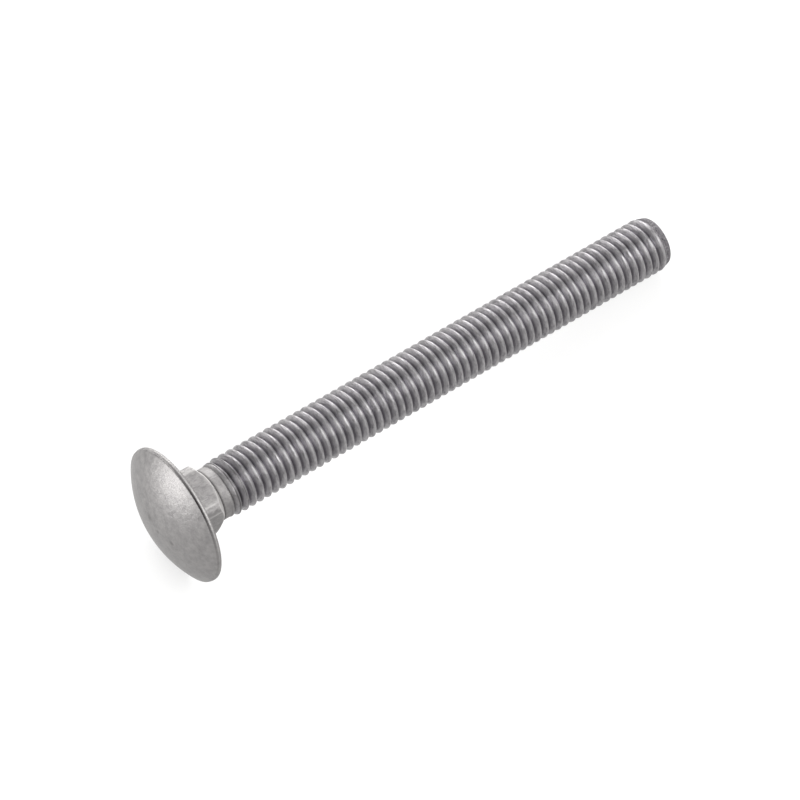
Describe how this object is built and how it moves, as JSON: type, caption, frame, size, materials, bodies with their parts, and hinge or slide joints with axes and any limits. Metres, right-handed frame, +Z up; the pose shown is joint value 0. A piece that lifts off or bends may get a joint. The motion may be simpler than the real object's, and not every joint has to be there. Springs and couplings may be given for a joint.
{
  "type": "carriage bolt",
  "caption": "Carriage bolt with a low domed head, a square neck that stops it turning, a short plain collar and a rolled metric thread down to a chamfered tip.",
  "frame": {"origin": "centre of the bolt's own floor area, on the surface that it lies on", "axes": "+Z up; +X level, along the bolt from the head to the tip. The bolt lies on the rim of its head and the crests near its tip, so its own axis dips 4.23 degrees towards the tip."},
  "size_m": [0.1038, 0.024, 0.024],
  "materials": {
    "stainless_steel": "satin, as cold headed and thread rolled, unplated"
  },
  "bodies": {
    "root": {"carriage_bolt": "stainless_steel"}
  },
  "joints": []
}
